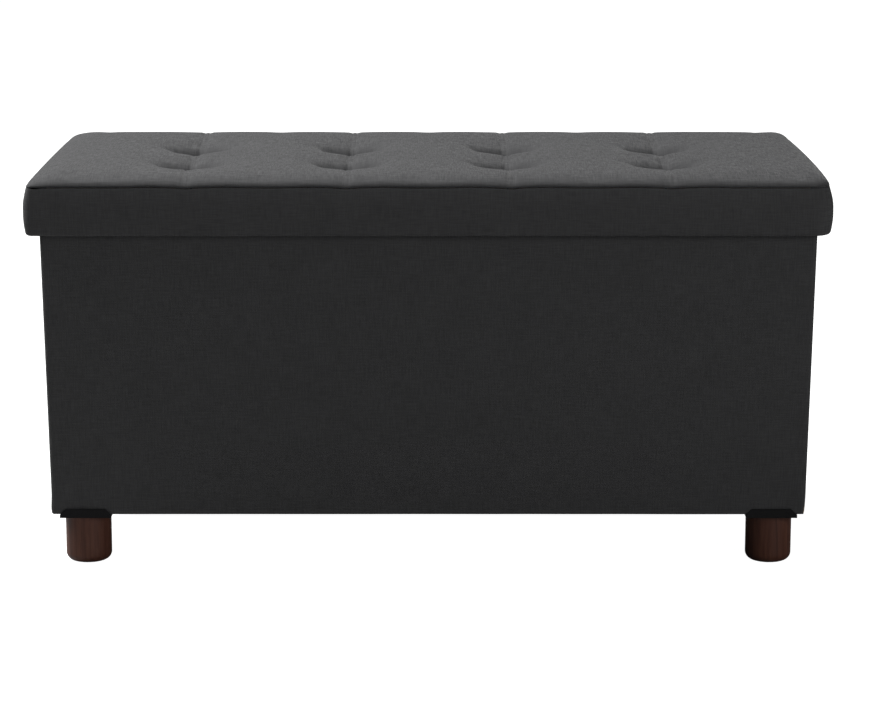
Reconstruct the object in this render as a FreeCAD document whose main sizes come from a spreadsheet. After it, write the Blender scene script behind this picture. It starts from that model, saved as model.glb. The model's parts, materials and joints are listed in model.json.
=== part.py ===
"""Storage ottoman: an upholstered box on four turned feet, with a loose floor board and a tufted lid.

Row frame: +X along the length, -Y is the front, +Z up. The origin is on the floor, below the middle.
All sizes are millimetres. The box's walls lean outwards a little, so it is wider at its rim than at its base.
"""

import FreeCAD, Part
import Sketcher
import math
import os
import re

# name, millimetres, what it is
SIZES = [
    ("lid_length", 760.0, "lid, across the widest part of its padded sides"),
    ("lid_width", 380.0, "lid, front to back, across the same padding"),
    ("lid_corner", 12.0, "radius of the lid's upright corners"),
    ("lid_bottom_z", 322.0, "underside of the lid's skirt"),
    ("lid_seam_z", 368.0, "seam between the lid's side band and its tufted top"),
    ("lid_top_z", 380.0, "crown of the tufted top"),
    ("side_bulge", 4.6, "how far the padded side stands out beyond its own top and bottom edges"),
    ("bulge_run", 14.0, "height over which the padded side swells out, at each edge"),
    ("crown_run", 34.0, "how far the crown slopes in from the seam"),
    ("lid_board_z", 340.5, "underside of the lid board"),
    ("lid_board_thick", 9.0, "lid board"),
    ("rim_thick", 4.5, "skirt boards round the lid board"),
    ("rim_half_x", 374.0, "outer face of the end skirt boards, from the middle"),
    ("rim_half_y", 184.0, "outer face of the front and back skirt boards, from the middle"),
    ("rim_corner", 10.6, "radius of the skirt's and the pad's upright corners"),
    ("tuft_pitch", 154.4, "from one tuft to the next along the length"),
    ("tuft_row_y", 63.0, "tuft rows, from the middle line"),
    ("twine_radius", 0.8, "tufting twine"),
    ("twine_top_z", 350.5, "where the twine pulls the top cover down to"),
    ("clip_radius", 8.5, "disc that anchors the twine under the lid board"),
    ("clip_thick", 2.2, "the same disc"),
    ("welt", 1.4, "sewn edge round the lid's top"),
    ("padding_inset", 5.0, "the side wadding, from the lid's lower edge and from its seam"),
    ("padding_thick", 1.2, "the side wadding, where it is pulled thin at its edges"),
    ("padding_swell", 2.9, "how much thicker the side wadding is half way up"),
    ("rim_length", 733.0, "box outside, along the length, at its rim"),
    ("rim_width", 353.0, "box outside, front to back, at its rim"),
    ("base_length", 722.6, "box outside, along the length, at its base"),
    ("base_width", 342.6, "box outside, front to back, at its base"),
    ("base_z", 50.0, "underside of the box"),
    ("rim_z", 339.0, "rim of the box"),
    ("hem_drop", 30.0, "how far the cover turns down inside the rim"),
    ("fabric", 1.2, "woven cover"),
    ("lining", 0.8, "non-woven lining"),
    ("panel", 9.0, "wall boards"),
    ("fold_gap", 3.0, "between the two boards of an end wall, where it folds"),
    ("corner_gap", 1.5, "between boards at a corner, where the cover is the hinge"),
    ("play", 0.1, "between layers that lie on each other"),
    ("board_length", 693.4, "loose floor board"),
    ("board_width", 313.4, "loose floor board"),
    ("board_thick", 6.0, "loose floor board"),
    ("board_z", 55.5, "underside of the floor board, on the bolt heads"),
    ("tab_length", 60.0, "pull tab on the floor board"),
    ("tab_width", 25.0, "pull tab on the floor board"),
    ("tab_thick", 2.0, "pull tab, two layers of ribbon"),
    ("tab_inset", 14.0, "pull tab, from the end of the floor board"),
    ("foot_radius", 22.0, "turned foot"),
    ("foot_height", 47.0, "turned foot"),
    ("foot_round", 8.0, "rounding of the foot's lower edge"),
    ("foot_x", 329.0, "foot's axis, from the middle"),
    ("foot_inset", 25.3, "foot's axis, back from the face of the box"),
    ("plate_thick", 3.0, "foot mount's plate, between the box and the foot"),
    ("plate_width", 49.0, "foot mount, along the length"),
    ("plate_reach", 27.0, "foot mount, from the foot's axis inwards"),
    ("plate_round", 8.0, "inner corners of the foot mount"),
    ("lip_thick", 1.6, "foot mount's lip in front of the cover"),
    ("lip_height", 5.7, "the lip, above the base of the box"),
    ("lip_gap", 0.2, "between the lip and the cover"),
    ("bolt_radius", 4.0, "foot bolt"),
    ("bolt_head_radius", 9.0, "foot bolt's flat head"),
    ("bolt_head_thick", 2.5, "foot bolt's flat head"),
    ("bolt_end_z", 28.0, "lower end of the foot bolt"),
    ("washer_radius", 12.0, "washer under the bolt head"),
    ("washer_thick", 1.5, "washer under the bolt head"),
    ("insert_radius", 5.5, "threaded insert in the foot"),
    ("insert_length", 20.0, "threaded insert in the foot"),
    ("screw_radius", 1.5, "mount screw"),
    ("screw_head_radius", 3.0, "mount screw's countersunk head"),
    ("screw_length", 16.0, "mount screw"),
    ("screw_offset", 17.0, "mount screws, each side of the foot's axis"),
    ("snug", 0.05, "round a screw in its board, and between a bolt and its insert's thread"),
    ("glued", 0.02, "round the insert in its foot"),
    ("easy", 0.3, "round a bolt, washer or screw that passes through a hole"),
    ("close", 0.2, "round a screw in the foot mount"),
    ("twine_ease", 0.4, "round the twine in the pad"),
    ("twine_hole", 1.2, "round the twine in the lid board"),
    ("clip_ease", 0.5, "round an anchor disc in its recess"),
    ("turn_room", 1.0, "between the lid's turned-up cover and the lining that covers it"),
    ("past", 1.0, "how far a cutting tool runs past the face that it cuts"),
]
# nearby numbers for a lid outline's length, width and corner radius, from which its sketch is solved
LID_ROUGH = (750, 370, 11)
TUFT_STEPS = (-1.5, -0.5, 0.5, 1.5)
ROWS = (-1, 1)
CORNERS = {"front_left": (-1, -1), "front_right": (1, -1), "rear_left": (-1, 1), "rear_right": (1, 1)}
# a cut that takes away less than this many cubic millimetres has missed
MISSED_CUT = 1e-6

doc = FreeCAD.newDocument("storage_ottoman")
sheet = doc.addObject("Spreadsheet::Sheet", "Sizes")
for row, (alias, size, meaning) in enumerate(SIZES, start=1):
    sheet.set(f"A{row}", alias)
    sheet.set(f"B{row}", str(size))
    sheet.setAlias(f"B{row}", alias)
    sheet.set(f"C{row}", meaning)
doc.recompute()
ALIASES = {alias for alias, _, _ in SIZES}
sub_parts = []


def formula(text):
    """A formula in the sheet's names, as FreeCAD's expressions want it."""
    return re.sub(r"[a-z][a-z_0-9]*", lambda word: "Sizes." * (word[0] in ALIASES) + word[0], str(text))


def bind(thing, **values):
    """Binds each property to a formula; x, y and z stand for the placement's place."""
    for name, text in values.items():
        path = f"Placement.Base.{name}" if name in "xyz" else name
        thing.setExpression(path, formula(text))
    return thing


def sub_part(thing, label):
    """Marks a finished object as a sub-part of the ottoman."""
    thing.Label = label
    sub_parts.append(thing)
    return thing


# ---------------------------------------------------------------- simple solids


def block(name, x, y, z):
    """A box between two formulas along each axis."""
    thing = doc.addObject("Part::Box", name)
    spans = [f"({high}) - ({low})" for low, high in (x, y, z)]
    return bind(thing, Length=spans[0], Width=spans[1], Height=spans[2], x=x[0], y=y[0], z=z[0])


def centred_block(name, half_x, half_y, z):
    return block(name, (f"-({half_x})", half_x), (f"-({half_y})", half_y), z)


def frustum(name, low, high, z):
    """A solid between the rectangle low, at the first height, and the rectangle high, at the second.
    Each rectangle is (x from, x to, y from, y to)."""
    thing = doc.addObject("Part::Wedge", name)
    thing.Placement = FreeCAD.Placement(FreeCAD.Vector(), FreeCAD.Rotation(FreeCAD.Vector(1, 0, 0), 90))
    bind(thing, Xmin=low[0], Xmax=low[1], Zmin=f"-({low[3]})", Zmax=f"-({low[2]})", Ymin=z[0], Ymax=z[1])
    return bind(thing, X2min=high[0], X2max=high[1], Z2min=f"-({high[3]})", Z2max=f"-({high[2]})")


def rod(name, radius, x, y, z):
    thing = doc.addObject("Part::Cylinder", name)
    return bind(thing, Radius=radius, Height=f"({z[1]}) - ({z[0]})", x=x, y=y, z=z[0])


def cut(name, base, tool):
    thing = doc.addObject("Part::Cut", name)
    thing.Base, thing.Tool = base, tool
    return thing


def common(name, base, tool):
    thing = doc.addObject("Part::Common", name)
    thing.Base, thing.Tool = base, tool
    return thing


def together(name, pieces, kind="Part::Compound"):
    """Several objects as one: a compound of separate solids, or, with Part::MultiFuse, one solid."""
    thing = doc.addObject(kind, name)
    if kind == "Part::Compound":
        thing.Links = pieces
    else:
        thing.Shapes = pieces
    return thing


def mirrored(name, source, normal):
    """The source's mirror image in the upright middle plane with that normal."""
    thing = doc.addObject("Part::Mirroring", name)
    thing.Source, thing.Normal, thing.Base = source, FreeCAD.Vector(*normal), FreeCAD.Vector()
    return thing


def at_corners(name, source):
    """The source, which stands at the front left corner, and its mirror images at the other three."""
    right = mirrored(name + "_front_right", source, (1, 0, 0))
    rear = mirrored(name + "_rear_left", source, (0, 1, 0))
    far = mirrored(name + "_rear_right", rear, (1, 0, 0))
    return {"front_left": source, "front_right": right, "rear_left": rear, "rear_right": far}


# ---------------------------------------------------------------- sketched solids


def new_body(name):
    return doc.addObject("PartDesign::Body", name)


def sketch_on(body, role, name, height="0"):
    """A sketch on one of the body's origin planes, moved along the plane's normal."""
    sketch = body.newObject("Sketcher::SketchObject", name)
    plane = next(feature for feature in body.Origin.OriginFeatures if feature.Role == role)
    sketch.AttachmentSupport = [(plane, "")]
    sketch.MapMode = "FlatFace"
    sketch.setExpression("AttachmentOffset.Base.z", formula(height))
    return sketch


def constrain(sketch, text, *constraint):
    """Adds a sized constraint and binds it to a formula."""
    number = sketch.addConstraint(Sketcher.Constraint(*constraint))
    sketch.setExpression(f"Constraints[{number}]", formula(text))


def outline(sketch, points, rough):
    """A closed outline of straight lines. points holds (x, y) formulas and rough holds nearby numbers."""
    count = len(points)
    places = [FreeCAD.Vector(x, y, 0) for x, y in rough]
    for i in range(count):
        sketch.addGeometry(Part.LineSegment(places[i], places[(i + 1) % count]))
    for i in range(count):
        sketch.addConstraint(Sketcher.Constraint("Coincident", i, 2, (i + 1) % count, 1))
    for i, (x, y) in enumerate(points):
        spans = (("DistanceX", x, -2, places[i].x), ("DistanceY", y, -1, places[i].y))
        for kind, text, axis, number in spans:
            if text == "0":
                sketch.addConstraint(Sketcher.Constraint("PointOnObject", i, 1, axis))
            else:
                constrain(sketch, text, kind, -1, 1, i, 1, number)


def rounded_rectangle(sketch, length, width, radius, rough):
    """A rectangle round the origin with equal rounded corners. rough is its length, width and radius."""
    a, b, r = rough[0] / 2, rough[1] / 2, rough[2]
    corners = [(a - r, -b + r, -90), (a - r, b - r, 0), (-a + r, b - r, 90), (-a + r, -b + r, 180)]
    sides = [((-a + r, -b), (a - r, -b)), ((a, -b + r), (a, b - r))]
    sides += [((a - r, b), (-a + r, b)), ((-a, b - r), (-a, -b + r))]
    for (start, end), (x, y, turn) in zip(sides, corners):
        sketch.addGeometry(Part.LineSegment(FreeCAD.Vector(*start, 0), FreeCAD.Vector(*end, 0)))
        circle = Part.Circle(FreeCAD.Vector(x, y, 0), FreeCAD.Vector(0, 0, 1), r)
        sketch.addGeometry(Part.ArcOfCircle(circle, math.radians(turn), math.radians(turn + 90)))
    for i in range(8):
        sketch.addConstraint(Sketcher.Constraint("Tangent", i, 2, (i + 1) % 8, 1))
    for i in (0, 4):
        sketch.addConstraint(Sketcher.Constraint("Horizontal", i))
        sketch.addConstraint(Sketcher.Constraint("Vertical", i + 2))
    for i in (3, 5, 7):
        sketch.addConstraint(Sketcher.Constraint("Equal", 1, i))
    sketch.addConstraint(Sketcher.Constraint("Symmetric", 1, 3, 5, 3, -1, 1))
    constrain(sketch, radius, "Radius", 1, r)
    constrain(sketch, length, "DistanceX", 6, 1, 2, 2, 2 * a)
    constrain(sketch, width, "DistanceY", 0, 1, 4, 2, 2 * b)


def rounded_loft(name, sections, rough):
    """A flat-sided solid through level rounded rectangles, each (length, width, radius, height)."""
    body = new_body(name)
    sketches = []
    for i, (length, width, radius, height) in enumerate(sections):
        sketch = sketch_on(body, "XY_Plane", f"{name}Section{i}", height)
        rounded_rectangle(sketch, length, width, radius, rough)
        sketches.append(sketch)
    loft = body.newObject("PartDesign::AdditiveLoft", name + "Loft")
    loft.Profile = sketches[0]
    loft.Sections = sketches[1:]
    loft.Ruled = True
    return body


def rounded_slab(name, half_x, half_y, radius, z):
    """An upright block with rounded corners."""
    section = (f"2 * ({half_x})", f"2 * ({half_y})", radius)
    return rounded_loft(name, [(*section, z[0]), (*section, z[1])], LID_ROUGH)


def swollen_slab(name, half_x, half_y, radius, z, bulge, run):
    """An upright rounded block whose sides swell out by bulge, over the height run at each edge."""
    flush = (f"2 * ({half_x})", f"2 * ({half_y})", radius)
    proud = (f"2 * ({half_x} + {bulge})", f"2 * ({half_y} + {bulge})", f"{radius} + {bulge}")
    sections = [(*flush, z[0]), (*proud, f"{z[0]} + {run}"), (*proud, f"{z[1]} - {run}"), (*flush, z[1])]
    return rounded_loft(name, sections, LID_ROUGH)


def turned(name, points, rough, x, y):
    """A solid turned about an upright axis at x, y from an outline of (radius, height) formulas."""
    body = new_body(name)
    sketch = sketch_on(body, "XZ_Plane", name + "Profile")
    outline(sketch, points, rough)
    turn = body.newObject("PartDesign::Revolution", name + "Turn")
    turn.Profile = sketch
    turn.ReferenceAxis = (sketch, ["V_Axis"])
    turn.Angle = 360
    bind(body, x=x, y=y)
    return body, turn


# ---------------------------------------------------------------- the box


BASE_X, BASE_Y = "base_length / 2", "base_width / 2"
RIM_X, RIM_Y = "rim_length / 2", "rim_width / 2"
SKIN = "fabric + play"
INNER_FACE = "fabric + play + panel + play"


def wall_frustum(name, inset, z):
    """A solid that follows the box's leaning walls, set in from their outer faces."""
    rectangles = []
    for half_x, half_y in ((BASE_X, BASE_Y), (RIM_X, RIM_Y)):
        x, y = f"{half_x} - ({inset})", f"{half_y} - ({inset})"
        rectangles.append((f"-({x})", x, f"-({y})", y))
    return frustum(name, *rectangles, z)


def lean_at(height):
    """How far the walls have leaned out at a height, from their faces at the base."""
    return f"((rim_length - base_length) / 2 * (({height}) - base_z) / (rim_z - base_z))"


def level_frustum(name, inset, z):
    """As wall_frustum, for a solid that stops below the rim."""
    low_x, low_y = (f"{half} + {lean_at(z[0])} - ({inset})" for half in (BASE_X, BASE_Y))
    high_x, high_y = (f"{half} + {lean_at(z[1])} - ({inset})" for half in (BASE_X, BASE_Y))
    low = (f"-({low_x})", low_x, f"-({low_y})", low_y)
    high = (f"-({high_x})", high_x, f"-({high_y})", high_y)
    return frustum(name, low, high, z)


PANEL_Z = ("base_z + lining + 2 * play", "rim_z - fabric - play")


def screw_holes(side):
    """Blind holes in the lower edge of the front (-1) or back (1) panel, for the mount screws."""
    edge_y = f"{side} * ({BASE_Y} - ({SKIN}) - panel / 2)"
    depth = ("base_z", "base_z - plate_thick + screw_length + past")
    holes = []
    for end in (-1, 1):
        for offset in (-1, 1):
            name = f"ScrewHole{len(doc.Objects)}"
            x = f"{end} * foot_x + {offset} * screw_offset"
            holes.append(rod(name, "screw_radius + snug", x, edge_y, depth))
    return together(f"ScrewHoles{len(doc.Objects)}", holes)


def long_panel(label, side):
    """The front or back wall board, as long as the box inside its cover."""
    rectangles = []
    for half_x, half_y in ((BASE_X, BASE_Y), (RIM_X, RIM_Y)):
        x = f"{half_x} - ({SKIN})"
        outer, inner = f"{half_y} - ({SKIN})", f"{half_y} - ({SKIN}) - panel"
        y = (f"-({outer})", f"-({inner})") if side < 0 else (inner, outer)
        rectangles.append((f"-({x})", x, *y))
    board = frustum(label + "_board", *rectangles, PANEL_Z)
    return sub_part(cut(label, board, screw_holes(side)), label)


def end_panel(label, end, half):
    """One of the two boards of an end wall, which meet at the fold in its middle."""
    rectangles = []
    for half_x, half_y in ((BASE_X, BASE_Y), (RIM_X, RIM_Y)):
        outer, inner = f"{half_x} - ({SKIN})", f"{half_x} - ({SKIN}) - panel"
        x = (f"-({outer})", f"-({inner})") if end < 0 else (inner, outer)
        near, far = "fold_gap / 2", f"{half_y} - ({SKIN}) - panel - corner_gap"
        y = (f"-({far})", f"-({near})") if half < 0 else (near, far)
        rectangles.append((*x, *y))
    return sub_part(frustum(label, *rectangles, PANEL_Z), label)


def box_cover():
    """The woven cover: down the outside, over the rim and a short way down the inside."""
    hem_z = "rim_z - hem_drop"
    whole = wall_frustum("CoverWhole", "0", ("base_z", "rim_z"))
    hollow = wall_frustum("CoverHollow", f"{INNER_FACE} + fabric", ("base_z - past", "rim_z + past"))
    below_hem = level_frustum("CoverBelowHem", "fabric", ("base_z - past", hem_z))
    slot_outer = level_frustum("CoverSlotOuter", "fabric", (hem_z, "rim_z - fabric"))
    slot_inner = level_frustum("CoverSlotInner", INNER_FACE, (f"{hem_z} - past", "rim_z - fabric + past"))
    slot = cut("CoverSlot", slot_outer, slot_inner)
    shell = cut("CoverShell", whole, hollow)
    skirt = cut("CoverSkirt", shell, below_hem)
    return sub_part(cut("box_cover", skirt, slot), "box_cover")


def box_lining():
    """The non-woven lining on the inside of the walls, below the cover's hem."""
    z = (PANEL_Z[0], "rim_z - hem_drop - 2 * play")
    outer = level_frustum("LiningOuter", INNER_FACE, z)
    inner = level_frustum("LiningInner", f"{INNER_FACE} + lining", z)
    return sub_part(cut("box_lining", outer, inner), "box_lining")


def base_cloth():
    """The non-woven cloth across the underside, with holes for the foot bolts and mount screws."""
    z = ("base_z + play / 2", "base_z + play / 2 + lining")
    cloth = centred_block("ClothWhole", f"{BASE_X} - ({SKIN})", f"{BASE_Y} - ({SKIN})", z)
    holes = []
    through = ("base_z - past", "base_z + lining + 2 * past")
    for x_side, y_side in CORNERS.values():
        foot_y = f"{y_side} * ({BASE_Y} - foot_inset)"
        edge_y = f"{y_side} * ({BASE_Y} - ({SKIN}) - panel / 2)"
        name = f"ClothHole{len(doc.Objects)}"
        holes.append(rod(name, "bolt_radius + easy", f"{x_side} * foot_x", foot_y, through))
        for offset in (-1, 1):
            x = f"{x_side} * foot_x + {offset} * screw_offset"
            holes.append(rod(f"ClothHole{len(doc.Objects)}", "screw_radius + easy", x, edge_y, through))
    return sub_part(cut("base_cloth", cloth, together("ClothHoles", holes)), "base_cloth")


def walls():
    long_panel("front_panel", -1)
    long_panel("back_panel", 1)
    for end_name, end in (("left", -1), ("right", 1)):
        for half_name, half in (("front", -1), ("rear", 1)):
            end_panel(f"{end_name}_{half_name}_panel", end, half)
    box_cover()
    box_lining()
    base_cloth()


# ---------------------------------------------------------------- feet and their mounts


FOOT_Y = f"{BASE_Y} - foot_inset"
EDGE_Y = f"{BASE_Y} - ({SKIN}) - panel / 2"


def foot(label, x_side, y_side):
    """A turned wooden foot with a blind hole for its threaded insert."""
    hole = "insert_radius + glued"
    depth = "foot_height - insert_length - 2 * past"
    points = [("0", "0"), ("foot_radius", "0"), ("foot_radius", "foot_height")]
    points += [(hole, "foot_height"), (hole, depth), ("0", depth)]
    rough = [(0, 0), (22, 0), (22, 47), (5.5, 47), (5.5, 25), (0, 25)]
    body, turn = turned(label, points, rough, f"{x_side} * foot_x", f"{y_side} * ({FOOT_Y})")
    doc.recompute()
    lower_edge = max(
        (number for number, edge in enumerate(turn.Shape.Edges, start=1) if edge.BoundBox.ZMax < 0.01),
        key=lambda number: turn.Shape.Edges[number - 1].BoundBox.XMax,
    )
    rounding = body.newObject("PartDesign::Fillet", label + "Rounding")
    rounding.Base = (turn, [f"Edge{lower_edge}"])
    bind(rounding, Radius="foot_round")
    return sub_part(body, label)


def foot_mount_blank():
    """The front left mount without its holes: a plate under the box, and a lip with sloping ends in front."""
    body = new_body("MountBlank")
    front = "-(foot_inset + lip_gap + lip_thick)"
    plate = sketch_on(body, "XY_Plane", "MountPlateOutline", "base_z - plate_thick")
    half = "plate_width / 2"
    points = [(f"-{half}", front), (half, front), (half, "plate_reach"), (f"-{half}", "plate_reach")]
    outline(plate, points, [(-24, -27), (24, -27), (24, 27), (-24, 27)])
    pad = body.newObject("PartDesign::Pad", "MountPlate")
    pad.Profile = plate
    bind(pad, Length="plate_thick")
    lip = sketch_on(body, "XZ_Plane", "MountLipOutline", "foot_inset + lip_gap")
    low, high = "base_z - plate_thick", "base_z + lip_height"
    points = [(f"-{half}", low), (half, low), (half, "base_z")]
    points += [(f"{half} - lip_height", high), (f"-({half} - lip_height)", high), (f"-{half}", "base_z")]
    outline(lip, points, [(-24, 47), (24, 47), (24, 50), (19, 56), (-19, 56), (-24, 50)])
    lip_pad = body.newObject("PartDesign::Pad", "MountLip")
    lip_pad.Profile = lip
    bind(lip_pad, Length="lip_thick")
    doc.recompute()
    corners = []
    for number, edge in enumerate(lip_pad.Shape.Edges, start=1):
        box = edge.BoundBox
        if box.ZLength > 1 and box.XLength < 0.01 and box.YLength < 0.01 and box.YMin > 1:
            corners.append(f"Edge{number}")
    rounding = body.newObject("PartDesign::Fillet", "MountRounding")
    rounding.Base = (lip_pad, corners)
    bind(rounding, Radius="plate_round")
    return bind(body, x="-foot_x", y=f"-({FOOT_Y})")


def countersink(name, x, y):
    """A screw hole through the mount's plate, widened at the underside for the screw's head."""
    below = "base_z - plate_thick"
    hole = rod(name + "Hole", "screw_radius + close", x, y, (f"{below} - past", "base_z + past"))
    cone = doc.addObject("Part::Cone", name + "Cone")
    bind(cone, Radius1="screw_head_radius + close", Radius2="screw_radius + close")
    bind(cone, Height="screw_head_radius - screw_radius", x=x, y=y, z=below)
    return together(name, [hole, cone], "Part::MultiFuse")


def foot_mounts():
    through = ("base_z - plate_thick - past", "base_z + past")
    bolt_hole = rod("MountBoltHole", "bolt_radius + easy", "-foot_x", f"-({FOOT_Y})", through)
    screws = [countersink(f"Countersink{i}", f"-foot_x + {side} * screw_offset", f"-({EDGE_Y})")
              for i, side in enumerate((-1, 1))]
    mount = cut("foot_mount", foot_mount_blank(), together("MountHoles", [bolt_hole, *screws]))
    for corner, thing in at_corners("foot_mount", mount).items():
        sub_part(thing, "foot_mount_" + corner)


def foot_fasteners():
    """Bolts, washers and threaded inserts at the four feet, and the eight mount screws."""
    x, y = "-foot_x", f"-({FOOT_Y})"
    washer_z = "base_z + lining + 2 * play"
    head_z = f"{washer_z} + washer_thick + play"
    head_top = f"{head_z} + bolt_head_thick"
    points = [("0", "bolt_end_z"), ("bolt_radius", "bolt_end_z"), ("bolt_radius", head_z)]
    points += [("bolt_head_radius", head_z), ("bolt_head_radius", head_top), ("0", head_top)]
    bolt, _ = turned("Bolt", points, [(0, 28), (4, 28), (4, 52), (9, 52), (9, 55), (0, 55)], x, y)
    disc = rod("WasherDisc", "washer_radius", x, y, (washer_z, f"{washer_z} + washer_thick"))
    washer = cut("Washer", disc, rod("WasherHole", "bolt_radius + easy", x, y, ("base_z", f"{head_z} + past")))
    insert_z = ("foot_height - insert_length", "foot_height")
    insert = cut("Insert", rod("InsertBarrel", "insert_radius", x, y, insert_z),
                 rod("InsertThread", "bolt_radius + snug", x, y, ("0", "base_z")))
    for label, source in (("foot_bolts", bolt), ("foot_bolt_washers", washer), ("foot_inserts", insert)):
        sub_part(together(label, list(at_corners(label, source).values())), label)
    below = "base_z - plate_thick"
    neck, tip = f"{below} + screw_head_radius - screw_radius", f"{below} + screw_length"
    points = [("0", below), ("screw_head_radius", below), ("screw_radius", neck)]
    points += [("screw_radius", tip), ("0", tip)]
    rough = [(0, 47), (3, 47), (1.5, 48.5), (1.5, 63), (0, 63)]
    screws = []
    for i, side in enumerate((-1, 1)):
        screw, _ = turned(f"Screw{i}", points, rough, f"-foot_x + {side} * screw_offset", f"-({EDGE_Y})")
        screws += at_corners(f"Screw{i}", screw).values()
    sub_part(together("mount_screws", screws), "mount_screws")


def feet():
    for corner, (x_side, y_side) in CORNERS.items():
        foot("foot_" + corner, x_side, y_side)
    foot_mounts()
    foot_fasteners()


# ---------------------------------------------------------------- the loose floor board


def floor_board():
    top = "board_z + board_thick"
    board = centred_block("floor_board", "board_length / 2", "board_width / 2", ("board_z", top))
    sub_part(board, "floor_board")
    half_x, half_y = "board_length / 2 + play", "board_width / 2 + play"
    outer_z, inner_z = ("board_z", f"{top} + play + lining"), ("board_z - past", f"{top} + play")
    outer = centred_block("BoardCoverOuter", f"{half_x} + lining", f"{half_y} + lining", outer_z)
    inner = centred_block("BoardCoverInner", half_x, half_y, inner_z)
    sub_part(cut("floor_board_cover", outer, inner), "floor_board_cover")
    tab_x = "board_length / 2 - tab_inset"
    tab_z = f"{top} + 2 * play + lining"
    along, across = (f"-({tab_x})", f"-({tab_x} - tab_length)"), ("-tab_width / 2", "tab_width / 2")
    tab = block("floor_board_tab", along, across, (tab_z, f"{tab_z} + tab_thick"))
    sub_part(tab, "floor_board_tab")


# ---------------------------------------------------------------- the lid


RIM_INNER_X, RIM_INNER_Y = "rim_half_x - rim_thick", "rim_half_y - rim_thick"
BOARD_TOP = "lid_board_z + lid_board_thick"
SKIRT_X, SKIRT_Y = f"{RIM_INNER_X} - turn_room", f"{RIM_INNER_Y} - turn_room"


def tuft_places():
    return [(f"{step} * tuft_pitch", f"{row} * tuft_row_y") for row in ROWS for step in TUFT_STEPS]


def at_tufts(name, radius, z):
    """An upright rod at each tuft, as one compound."""
    return together(name, [rod(f"{name}{i}", radius, x, y, z) for i, (x, y) in enumerate(tuft_places())])


def lid_board():
    """The board that carries the pad, drilled for the twine and recessed below for its anchor discs."""
    z = ("lid_board_z", BOARD_TOP)
    board = centred_block("LidBoardWhole", f"{RIM_INNER_X} - play", f"{RIM_INNER_Y} - play", z)
    recess_z = ("lid_board_z - past", "lid_board_z + clip_thick + 2 * play")
    recesses = at_tufts("ClipRecess", "clip_radius + clip_ease", recess_z)
    drilled = cut("LidBoardRecessed", board, recesses)
    holes = at_tufts("TwineHole", "twine_radius + twine_hole", ("lid_board_z", f"{BOARD_TOP} + past"))
    sub_part(cut("lid_board", drilled, holes), "lid_board")


def lid_core(name, z):
    """What the skirt boards and the pad fill: an upright block with rounded corners."""
    return rounded_slab(name, "rim_half_x", "rim_half_y", "rim_corner", z)


def lid_skirt_boards():
    z = ("lid_bottom_z + fabric", BOARD_TOP)
    whole_x, whole_y = ("-rim_half_x", "rim_half_x"), (f"-({RIM_INNER_Y} - play)", f"{RIM_INNER_Y} - play")
    places = {
        "front": (whole_x, ("-rim_half_y", f"-({RIM_INNER_Y})")),
        "back": (whole_x, (RIM_INNER_Y, "rim_half_y")),
        "left": (("-rim_half_x", f"-({RIM_INNER_X})"), whole_y),
        "right": ((RIM_INNER_X, "rim_half_x"), whole_y),
    }
    for side, (x, y) in places.items():
        label = "lid_skirt_" + side
        sub_part(common(label, block(label + "_plain", x, y, z), lid_core(label + "_core", z)), label)


def crowned(name, half_x, half_y, radius, z):
    """The shallow crown on the pad, which slopes in from the seam."""
    low = (f"2 * ({half_x})", f"2 * ({half_y})", radius, z[0])
    high = (f"2 * ({half_x} - crown_run)", f"2 * ({half_y} - crown_run)", radius, z[1])
    return rounded_loft(name, [low, high], LID_ROUGH)


def lid_pad():
    """The foam pad, pierced by the tufting twine."""
    crown_z = "lid_seam_z - fabric - play"
    half_x, half_y, radius = "rim_half_x - play", "rim_half_y - play", "rim_corner"
    slab = rounded_slab("PadSlab", half_x, half_y, radius, (f"{BOARD_TOP} + play", crown_z))
    crown = crowned("PadCrown", half_x, half_y, radius, (crown_z, "lid_top_z - fabric - play"))
    pad = together("PadWhole", [slab, crown], "Part::MultiFuse")
    holes = at_tufts("PadHole", "twine_radius + twine_ease", (BOARD_TOP, "lid_top_z"))
    sub_part(cut("lid_pad", pad, holes), "lid_pad")


def lid_top_cover():
    half_x, half_y, radius = "rim_half_x + 2 * play", "rim_half_y + 2 * play", "rim_corner + play"
    outer = crowned("TopCoverOuter", half_x, half_y, radius, ("lid_seam_z", "lid_top_z"))
    inner = crowned("TopCoverInner", half_x, half_y, radius, ("lid_seam_z - fabric", "lid_top_z - fabric"))
    sub_part(cut("lid_top_cover", outer, inner), "lid_top_cover")
    outer = rounded_slab("SeamOuter", f"{half_x} + play + welt", f"{half_y} + play + welt",
                         f"{radius} + play + welt", ("lid_seam_z + play", "lid_seam_z + play + welt"))
    inner = rounded_slab("SeamInner", f"{half_x} + play", f"{half_y} + play", f"{radius} + play",
                         ("lid_seam_z", "lid_seam_z + 2 * welt"))
    sub_part(cut("lid_edge_seam", outer, inner), "lid_edge_seam")


def lid_side_cover():
    """The side band: padded outside, round the skirt's lower edge and up its inner face."""
    z = ("lid_bottom_z", "lid_seam_z")
    half_x, half_y = "lid_length / 2 - side_bulge", "lid_width / 2 - side_bulge"
    whole = swollen_slab("BandWhole", half_x, half_y, "lid_corner", z, "side_bulge", "bulge_run")
    inner_z = ("lid_bottom_z + fabric - play", "lid_seam_z + play")
    hollow = swollen_slab("BandHollow", f"{half_x} - fabric", f"{half_y} - fabric", "lid_corner - fabric",
                          inner_z, "side_bulge", "bulge_run")
    turned_up_z = ("lid_bottom_z", "lid_board_z - play")
    kept = centred_block("BandKept", f"{RIM_INNER_X} - play", f"{RIM_INNER_Y} - play", turned_up_z)
    opening = centred_block("BandOpening", SKIRT_X, SKIRT_Y, ("lid_bottom_z - past", "lid_seam_z + past"))
    ring = cut("BandRing", whole, opening)
    sub_part(cut("lid_side_cover", ring, cut("BandSlot", hollow, kept)), "lid_side_cover")


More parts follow.
